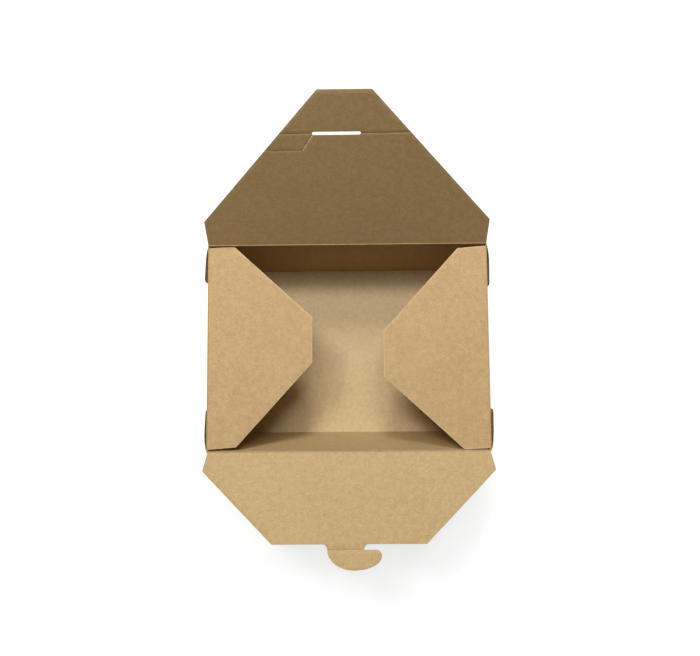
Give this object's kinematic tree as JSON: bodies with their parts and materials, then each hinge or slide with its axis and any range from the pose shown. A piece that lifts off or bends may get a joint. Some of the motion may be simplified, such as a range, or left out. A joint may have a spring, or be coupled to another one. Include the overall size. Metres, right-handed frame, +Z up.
{
  "type": "takeaway box",
  "caption": "Folded kraft board food box with a tapered tray, four hinged flaps, and a hook tab that locks in a slot.",
  "frame": {"origin": "centre of the tray's underside, on the table", "axes": "+X along the tray's length to the right, +Y to the back flap, +Z up"},
  "size_m": [0.2212, 0.3304, 0.1442],
  "materials": {
    "kraft_board": "matt"
  },
  "bodies": {
    "tray": {"tray": "kraft_board"},
    "back_flap": {"back_flap": "kraft_board"},
    "front_flap": {"front_flap": "kraft_board"},
    "left_flap": {"left_flap": "kraft_board"},
    "right_flap": {"right_flap": "kraft_board"}
  },
  "joints": [
    {"name": "back_flap_hinge", "type": "hinge", "parent": "tray", "child": "back_flap", "pos_m": [0, 0.07936, 0.06492], "axis": [1, 0, 0], "range_deg": [-62, 138]},
    {"name": "front_flap_hinge", "type": "hinge", "parent": "tray", "child": "front_flap", "pos_m": [0, -0.07927, 0.06432], "axis": [-1, 0, 0], "range_deg": [-35, 170]},
    {"name": "left_flap_hinge", "type": "hinge", "parent": "tray", "child": "left_flap", "pos_m": [-0.10772, 0, 0.0635], "axis": [0, -1, 0], "range_deg": [0, 188]},
    {"name": "right_flap_hinge", "type": "hinge", "parent": "tray", "child": "right_flap", "pos_m": [0.10772, 0, 0.0635], "axis": [0, 1, 0], "range_deg": [0, 188]}
  ]
}
